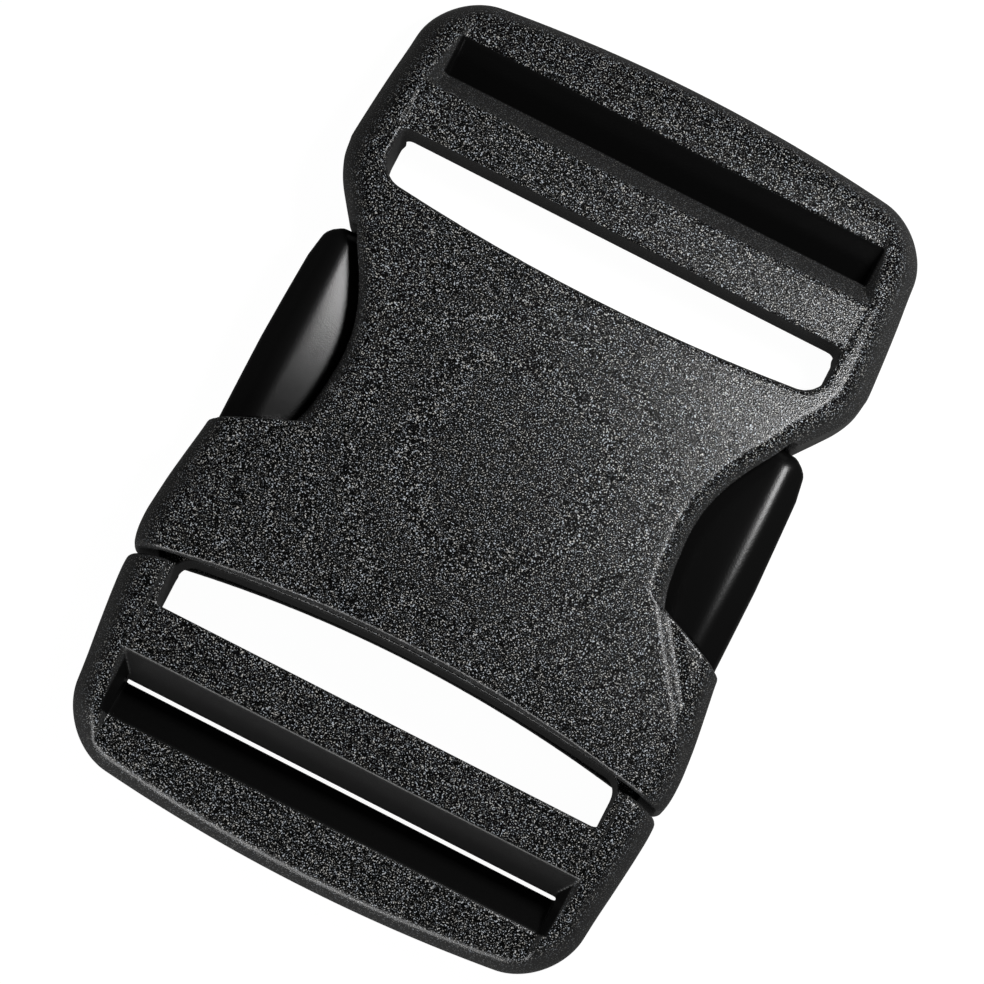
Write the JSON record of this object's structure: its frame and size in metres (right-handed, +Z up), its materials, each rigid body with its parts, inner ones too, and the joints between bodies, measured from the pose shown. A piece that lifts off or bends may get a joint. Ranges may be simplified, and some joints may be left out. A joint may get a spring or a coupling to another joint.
{
  "type": "side release buckle",
  "caption": "Fastened side release buckle for wide webbing, with an adjuster bar and an end bar on both the socket and the plug.",
  "frame": {"origin": "under the middle of the fastened buckle, on the surface that it lies on", "axes": "+Y runs along the strap from the plug's end to the socket's end, +X runs across, and +Z points up out of the face"},
  "size_m": [0.064, 0.096, 0.0128],
  "materials": {
    "socket_moulding": "black moulded acetal, fine spark-eroded texture",
    "plug_moulding": "black moulded acetal, fine spark-eroded texture"
  },
  "bodies": {
    "root": {"socket": "socket_moulding", "plug": "plug_moulding"}
  },
  "joints": []
}
